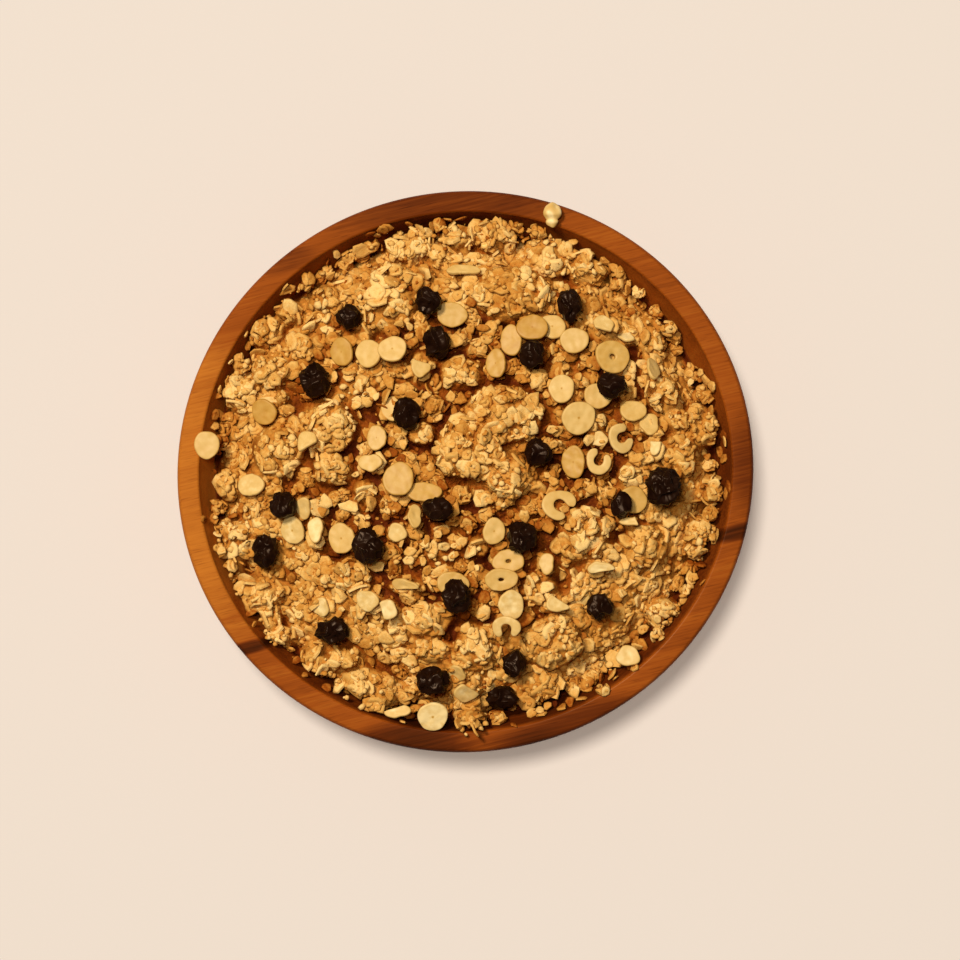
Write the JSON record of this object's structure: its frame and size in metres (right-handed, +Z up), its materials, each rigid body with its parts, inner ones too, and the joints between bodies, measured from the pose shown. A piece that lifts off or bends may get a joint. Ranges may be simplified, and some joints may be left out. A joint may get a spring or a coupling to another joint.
{
  "type": "bowl of granola",
  "caption": "Turned wooden bowl heaped with granola: toasted oat clusters and loose flakes topped with hazelnut slices and dark dried berries.",
  "frame": {"origin": "middle of the flat foot, at the bottom of the bowl", "axes": "+Z up out of the bowl, +X to the right and +Y to the top of the reference picture; the bowl's slightly longer diameter lies 14 degrees anticlockwise of +X"},
  "size_m": [0.2026, 0.1974, 0.077],
  "materials": {
    "wood": "oiled satin hardwood, turned, warm orange-brown with darker streaks along the grain",
    "toasted_oats": "toasted oats baked with syrup: dry and matte with a faint glaze, pale gold on the clusters, brown in the gaps",
    "hazelnut": "cut face of a skinned hazelnut: smooth, cream, slightly waxy",
    "dried_fruit": "dried dark berry: near black, wrinkled skin with a wet-looking gloss"
  },
  "bodies": {
    "root": {"bowl": "wood", "dried_berry_01": "dried_fruit", "dried_berry_02": "dried_fruit", "dried_berry_03": "dried_fruit", "dried_berry_04": "dried_fruit", "dried_berry_05": "dried_fruit", "dried_berry_06": "dried_fruit", "dried_berry_07": "dried_fruit", "dried_berry_08": "dried_fruit", "dried_berry_09": "dried_fruit", "dried_berry_10": "dried_fruit", "dried_berry_11": "dried_fruit", "dried_berry_12": "dried_fruit", "dried_berry_13": "dried_fruit", "dried_berry_14": "dried_fruit", "dried_berry_15": "dried_fruit", "dried_berry_16": "dried_fruit", "dried_berry_17": "dried_fruit", "dried_berry_18": "dried_fruit", "dried_berry_19": "dried_fruit", "dried_berry_20": "dried_fruit", "dried_berry_21": "dried_fruit", "dried_berry_22": "dried_fruit", "granola": "toasted_oats", "hazelnut_chunk": "hazelnut", "hazelnut_disc_01": "hazelnut", "hazelnut_disc_02": "hazelnut", "hazelnut_disc_03": "hazelnut", "hazelnut_disc_04": "hazelnut", "hazelnut_disc_06": "hazelnut", "hazelnut_disc_07": "hazelnut", "hazelnut_disc_08": "hazelnut", "hazelnut_disc_09": "hazelnut", "hazelnut_disc_10": "hazelnut", "hazelnut_disc_12": "hazelnut", "hazelnut_disc_13": "hazelnut", "hazelnut_disc_14": "hazelnut", "hazelnut_disc_15": "hazelnut", "hazelnut_disc_17": "hazelnut", "hazelnut_disc_19": "hazelnut", "hazelnut_disc_21": "hazelnut", "hazelnut_disc_22": "hazelnut", "hazelnut_disc_23": "hazelnut", "hazelnut_disc_24": "hazelnut", "hazelnut_disc_27": "hazelnut", "hazelnut_disc_28": "hazelnut", "hazelnut_disc_29": "hazelnut", "hazelnut_disc_30": "hazelnut", "hazelnut_disc_31": "hazelnut", "hazelnut_disc_32": "hazelnut", "hazelnut_disc_33": "hazelnut", "hazelnut_disc_35": "hazelnut", "hazelnut_half_05": "hazelnut", "hazelnut_open_16": "hazelnut", "hazelnut_open_18": "hazelnut", "hazelnut_open_20": "hazelnut", "hazelnut_open_34": "hazelnut", "hazelnut_ring_11": "hazelnut", "hazelnut_ring_25": "hazelnut", "hazelnut_ring_26": "hazelnut"}
  },
  "joints": []
}
